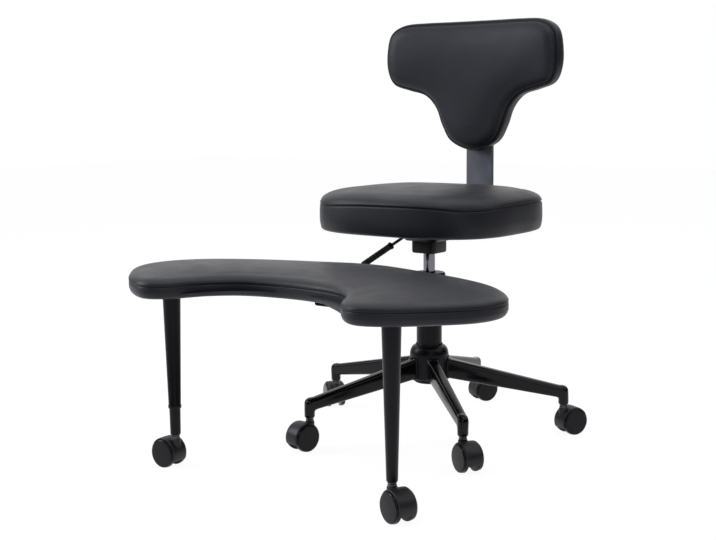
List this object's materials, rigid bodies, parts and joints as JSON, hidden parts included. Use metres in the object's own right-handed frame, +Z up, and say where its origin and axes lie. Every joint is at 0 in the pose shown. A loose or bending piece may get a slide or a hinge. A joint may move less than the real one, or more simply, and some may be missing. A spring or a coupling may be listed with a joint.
{
  "type": "cross-legged office chair",
  "caption": "Padded office chair with a T-shaped back, a gas lift on a castered star base and a boomerang leg rest that swivels round the column on castered legs.",
  "frame": {"origin": "on the floor, on the axis of the gas column", "axes": "+Z up; the chair faces -Y; +X is the sitter's left"},
  "size_m": [0.7664, 0.8625, 0.8121],
  "materials": {
    "leather": "soft satin",
    "board": "matte",
    "black_steel": "satin",
    "grey_steel": "satin",
    "rod_steel": "polished",
    "pin_steel": "plain",
    "black_nylon": "satin gloss",
    "wheel_nylon": "matte",
    "grip": "matte"
  },
  "bodies": {
    "base": {"base_hub": "black_steel", "base_arm_1": "black_steel", "base_arm_2": "black_steel", "base_arm_3": "black_steel", "base_arm_4": "black_steel", "base_arm_5": "black_steel", "gas_column": "black_steel"},
    "piston": {"gas_rod": "rod_steel"},
    "button": {"release_button": "pin_steel"},
    "seat": {"seat_mechanism": "black_steel", "seat_board": "board", "seat_cushion": "leather", "back_bar": "grey_steel", "back_board": "board", "back_cushion": "leather"},
    "lever": {"lever_rod": "black_steel", "lever_grip": "grip"},
    "leg_rest": {"swivel_collar": "black_steel", "carrier_arm": "black_steel", "rest_board": "board", "rest_pad": "leather", "rest_leg_left": "black_steel", "rest_leg_right": "black_steel", "rest_foot_right": "black_steel"},
    "caster_base_1": {"caster_base_1_hood": "black_nylon", "caster_base_1_stem": "pin_steel", "caster_base_1_axle": "pin_steel"},
    "wheel_base_1_a": {"caster_base_1_wheel_a": "wheel_nylon"},
    "wheel_base_1_b": {"caster_base_1_wheel_b": "wheel_nylon"},
    "caster_base_2": {"caster_base_2_hood": "black_nylon", "caster_base_2_stem": "pin_steel", "caster_base_2_axle": "pin_steel"},
    "wheel_base_2_a": {"caster_base_2_wheel_a": "wheel_nylon"},
    "wheel_base_2_b": {"caster_base_2_wheel_b": "wheel_nylon"},
    "caster_base_3": {"caster_base_3_hood": "black_nylon", "caster_base_3_stem": "pin_steel", "caster_base_3_axle": "pin_steel"},
    "wheel_base_3_a": {"caster_base_3_wheel_a": "wheel_nylon"},
    "wheel_base_3_b": {"caster_base_3_wheel_b": "wheel_nylon"},
    "caster_base_4": {"caster_base_4_hood": "black_nylon", "caster_base_4_stem": "pin_steel", "caster_base_4_axle": "pin_steel"},
    "wheel_base_4_a": {"caster_base_4_wheel_a": "wheel_nylon"},
    "wheel_base_4_b": {"caster_base_4_wheel_b": "wheel_nylon"},
    "caster_base_5": {"caster_base_5_hood": "black_nylon", "caster_base_5_stem": "pin_steel", "caster_base_5_axle": "pin_steel"},
    "wheel_base_5_a": {"caster_base_5_wheel_a": "wheel_nylon"},
    "wheel_base_5_b": {"caster_base_5_wheel_b": "wheel_nylon"},
    "caster_rest_left": {"caster_rest_left_hood": "black_nylon", "caster_rest_left_stem": "pin_steel", "caster_rest_left_axle": "pin_steel"},
    "wheel_rest_left_a": {"caster_rest_left_wheel_a": "wheel_nylon"},
    "wheel_rest_left_b": {"caster_rest_left_wheel_b": "wheel_nylon"},
    "caster_rest_right": {"caster_rest_right_hood": "black_nylon", "caster_rest_right_stem": "pin_steel", "caster_rest_right_axle": "pin_steel"},
    "wheel_rest_right_a": {"caster_rest_right_wheel_a": "wheel_nylon"},
    "wheel_rest_right_b": {"caster_rest_right_wheel_b": "wheel_nylon"}
  },
  "joints": [
    {"name": "height_slide", "type": "slide", "parent": "base", "child": "piston", "axis": [0, 0, 1], "range_m": [0, 0.09]},
    {"name": "seat_swivel", "type": "hinge", "parent": "piston", "child": "seat", "pos_m": [0, 0, 0.37], "axis": [0, 0, 1], "continuous": true},
    {"name": "lever_lift", "type": "hinge", "parent": "seat", "child": "lever", "pos_m": [-0.03521, -0.00748, 0.395], "axis": [-0.2079, 0.9781, 0], "range_deg": [0, 7], "stiffness_Nm_per_rad": 0.6, "springref_deg": -14.32},
    {"name": "button_press", "type": "slide", "parent": "piston", "child": "button", "axis": [0, 0, 1], "range_m": [-0.0048, 0]},
    {"name": "leg_rest_swivel", "type": "hinge", "parent": "base", "child": "leg_rest", "pos_m": [0, 0, 0.286], "axis": [0, 0, 1], "continuous": true},
    {"name": "caster_base_1_swivel", "type": "hinge", "parent": "base", "child": "caster_base_1", "pos_m": [0.19086, -0.18239, 0.0615], "axis": [0, 0, 1], "continuous": true},
    {"name": "wheel_base_1_a_spin", "type": "hinge", "parent": "caster_base_1", "child": "wheel_base_1_a", "pos_m": [0.20645, -0.19139, 0.0258], "axis": [0.5, 0.866, 0], "continuous": true},
    {"name": "wheel_base_1_b_spin", "type": "hinge", "parent": "caster_base_1", "child": "wheel_base_1_b", "pos_m": [0.20645, -0.19139, 0.0258], "axis": [0.5, 0.866, 0], "continuous": true},
    {"name": "caster_base_2_swivel", "type": "hinge", "parent": "base", "child": "caster_base_2", "pos_m": [0.23245, 0.12516, 0.0615], "axis": [0, 0, 1], "continuous": true},
    {"name": "wheel_base_2_a_spin", "type": "hinge", "parent": "caster_base_2", "child": "wheel_base_2_a", "pos_m": [0.24062, 0.1412, 0.0258], "axis": [-0.891, 0.454, 0], "continuous": true},
    {"name": "wheel_base_2_b_spin", "type": "hinge", "parent": "caster_base_2", "child": "wheel_base_2_b", "pos_m": [0.24062, 0.1412, 0.0258], "axis": [-0.891, 0.454, 0], "continuous": true},
    {"name": "caster_base_3_swivel", "type": "hinge", "parent": "base", "child": "caster_base_3", "pos_m": [-0.0472, 0.25975, 0.0615], "axis": [0, 0, 1], "continuous": true},
    {"name": "wheel_base_3_a_spin", "type": "hinge", "parent": "caster_base_3", "child": "wheel_base_3_a", "pos_m": [-0.0396, 0.27606, 0.0258], "axis": [-0.9063, 0.4226, 0], "continuous": true},
    {"name": "wheel_base_3_b_spin", "type": "hinge", "parent": "caster_base_3", "child": "wheel_base_3_b", "pos_m": [-0.0396, 0.27606, 0.0258], "axis": [-0.9063, 0.4226, 0], "continuous": true},
    {"name": "caster_base_4_swivel", "type": "hinge", "parent": "base", "child": "caster_base_4", "pos_m": [-0.26162, 0.03537, 0.0615], "axis": [0, 0, 1], "continuous": true},
    {"name": "wheel_base_4_a_spin", "type": "hinge", "parent": "caster_base_4", "child": "wheel_base_4_a", "pos_m": [-0.27561, 0.0467, 0.0258], "axis": [-0.6293, -0.7771, 0], "continuous": true},
    {"name": "wheel_base_4_b_spin", "type": "hinge", "parent": "caster_base_4", "child": "wheel_base_4_b", "pos_m": [-0.27561, 0.0467, 0.0258], "axis": [-0.6293, -0.7771, 0], "continuous": true},
    {"name": "caster_base_5_swivel", "type": "hinge", "parent": "base", "child": "caster_base_5", "pos_m": [-0.11449, -0.23788, 0.0615], "axis": [0, 0, 1], "continuous": true},
    {"name": "wheel_base_5_a_spin", "type": "hinge", "parent": "caster_base_5", "child": "wheel_base_5_a", "pos_m": [-0.11854, -0.25542, 0.0258], "axis": [0.9744, -0.225, 0], "continuous": true},
    {"name": "wheel_base_5_b_spin", "type": "hinge", "parent": "caster_base_5", "child": "wheel_base_5_b", "pos_m": [-0.11854, -0.25542, 0.0258], "axis": [0.9744, -0.225, 0], "continuous": true},
    {"name": "caster_rest_left_swivel", "type": "hinge", "parent": "leg_rest", "child": "caster_rest_left", "pos_m": [0.238, -0.47, 0.0615], "axis": [0, 0, 1], "continuous": true},
    {"name": "wheel_rest_left_a_spin", "type": "hinge", "parent": "caster_rest_left", "child": "wheel_rest_left_a", "pos_m": [0.25469, -0.47674, 0.0258], "axis": [0.3746, 0.9272, 0], "continuous": true},
    {"name": "wheel_rest_left_b_spin", "type": "hinge", "parent": "caster_rest_left", "child": "wheel_rest_left_b", "pos_m": [0.25469, -0.47674, 0.0258], "axis": [0.3746, 0.9272, 0], "continuous": true},
    {"name": "caster_rest_right_swivel", "type": "hinge", "parent": "leg_rest", "child": "caster_rest_right", "pos_m": [-0.238, -0.47, 0.0615], "axis": [0, 0, 1], "continuous": true},
    {"name": "wheel_rest_right_a_spin", "type": "hinge", "parent": "caster_rest_right", "child": "wheel_rest_right_a", "pos_m": [-0.256, -0.47, 0.0258], "axis": [0, -1, 0], "continuous": true},
    {"name": "wheel_rest_right_b_spin", "type": "hinge", "parent": "caster_rest_right", "child": "wheel_rest_right_b", "pos_m": [-0.256, -0.47, 0.0258], "axis": [0, -1, 0], "continuous": true}
  ],
  "couplings": [
    {"joint": "button_press", "follows": "lever_lift", "m_per_rad": -0.0365}
  ]
}
